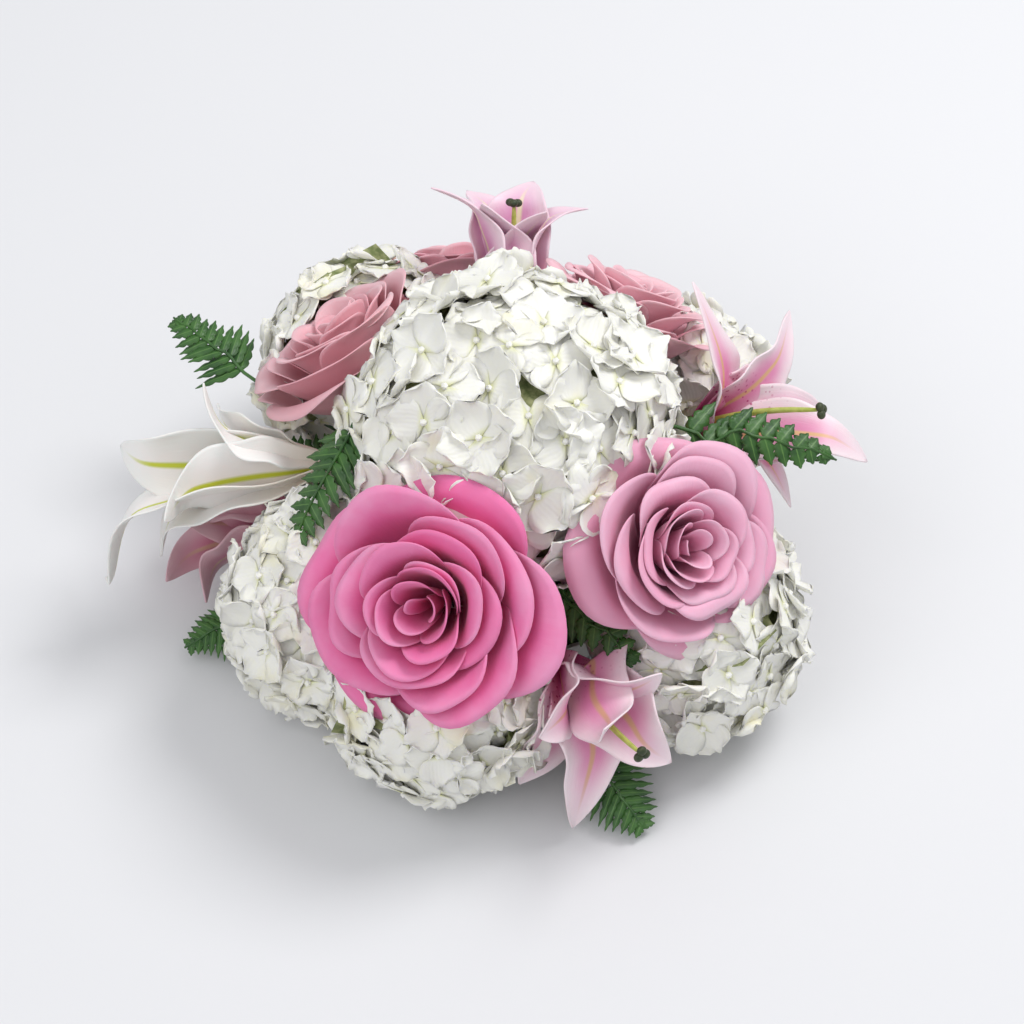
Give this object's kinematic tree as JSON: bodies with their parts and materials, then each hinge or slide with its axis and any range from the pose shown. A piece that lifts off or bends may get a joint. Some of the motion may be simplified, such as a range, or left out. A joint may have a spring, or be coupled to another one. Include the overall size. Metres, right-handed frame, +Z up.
{
  "type": "floral table centerpiece",
  "caption": "Round, low arrangement of hydrangea heads, roses, lilies and fern fronds set in wet foam in a shallow dish, to stand in the middle of a table.",
  "frame": {"origin": "the middle of the dish's flat foot, on the table", "axes": "+Z up; -Y is the front, the side with the hot pink rose and the open lily; +X is to the right seen from the front"},
  "size_m": [0.3588, 0.317, 0.1916],
  "materials": {
    "dish": "moulded white plastic, satin gloss",
    "foam": "wet floral foam, dark green, dry matt cell texture",
    "tape": "green waterproof anchor tape",
    "stem": "smooth green cut stem",
    "hydrangea": "creamy white florets",
    "fern": "glossy dark green leatherleaf",
    "pistil": "yellow-green style with a dark stigma",
    "rose_hot_pink": "velvety hot pink petals",
    "rose_light_pink": "velvety mauve-pink petals",
    "rose_dusty_pink": "velvety dusty pink petals",
    "rose_pale_pink": "velvety pale pink petals with hot pink at the folds",
    "rose_back_pink": "velvety salmon-pink petals",
    "lily_pink": "waxy pink tepals with white edges",
    "lily_white": "waxy white tepals with a yellow-green rib",
    "lily_dusty": "waxy dusty pink tepals"
  },
  "bodies": {
    "root": {"anchor_tape": "tape", "dish": "dish", "fern_back_right": "fern", "fern_centre": "fern", "fern_front_right": "fern", "fern_left_lower": "fern", "fern_left_middle": "fern", "fern_left_shade": "fern", "fern_left_upper": "fern", "fern_right": "fern", "hydrangea_back_left_head": "hydrangea", "hydrangea_back_left_stem": "stem", "hydrangea_back_right_head": "hydrangea", "hydrangea_back_right_stem": "stem", "hydrangea_front_head": "hydrangea", "hydrangea_front_left_head": "hydrangea", "hydrangea_front_left_stem": "stem", "hydrangea_front_right_head": "hydrangea", "hydrangea_front_right_stem": "stem", "hydrangea_front_stem": "stem", "hydrangea_top_head": "hydrangea", "hydrangea_top_stem": "stem", "lily_back_pistil": "pistil", "lily_back_stem": "stem", "lily_back_tepals": "lily_pink", "lily_front_pistil": "pistil", "lily_front_stem": "stem", "lily_front_tepals": "lily_pink", "lily_left_pistil": "pistil", "lily_left_stem": "stem", "lily_left_tepals": "lily_white", "lily_low_left_pistil": "pistil", "lily_low_left_stem": "stem", "lily_low_left_tepals": "lily_dusty", "lily_right_pistil": "pistil", "lily_right_stem": "stem", "lily_right_tepals": "lily_pink", "rose_back_pink_heart": "rose_back_pink", "rose_back_pink_inner_petals": "rose_back_pink", "rose_back_pink_outer_petals": "rose_back_pink", "rose_back_pink_stem": "stem", "rose_dusty_pink_heart": "rose_dusty_pink", "rose_dusty_pink_inner_petals": "rose_dusty_pink", "rose_dusty_pink_outer_petals": "rose_dusty_pink", "rose_dusty_pink_stem": "stem", "rose_hot_pink_heart": "rose_hot_pink", "rose_hot_pink_inner_petals": "rose_hot_pink", "rose_hot_pink_outer_petals": "rose_hot_pink", "rose_hot_pink_stem": "stem", "rose_light_pink_heart": "rose_light_pink", "rose_light_pink_inner_petals": "rose_light_pink", "rose_light_pink_outer_petals": "rose_light_pink", "rose_light_pink_stem": "stem", "rose_pale_pink_heart": "rose_pale_pink", "rose_pale_pink_inner_petals": "rose_pale_pink", "rose_pale_pink_outer_petals": "rose_pale_pink", "rose_pale_pink_stem": "stem", "wet_foam": "foam"}
  },
  "joints": []
}
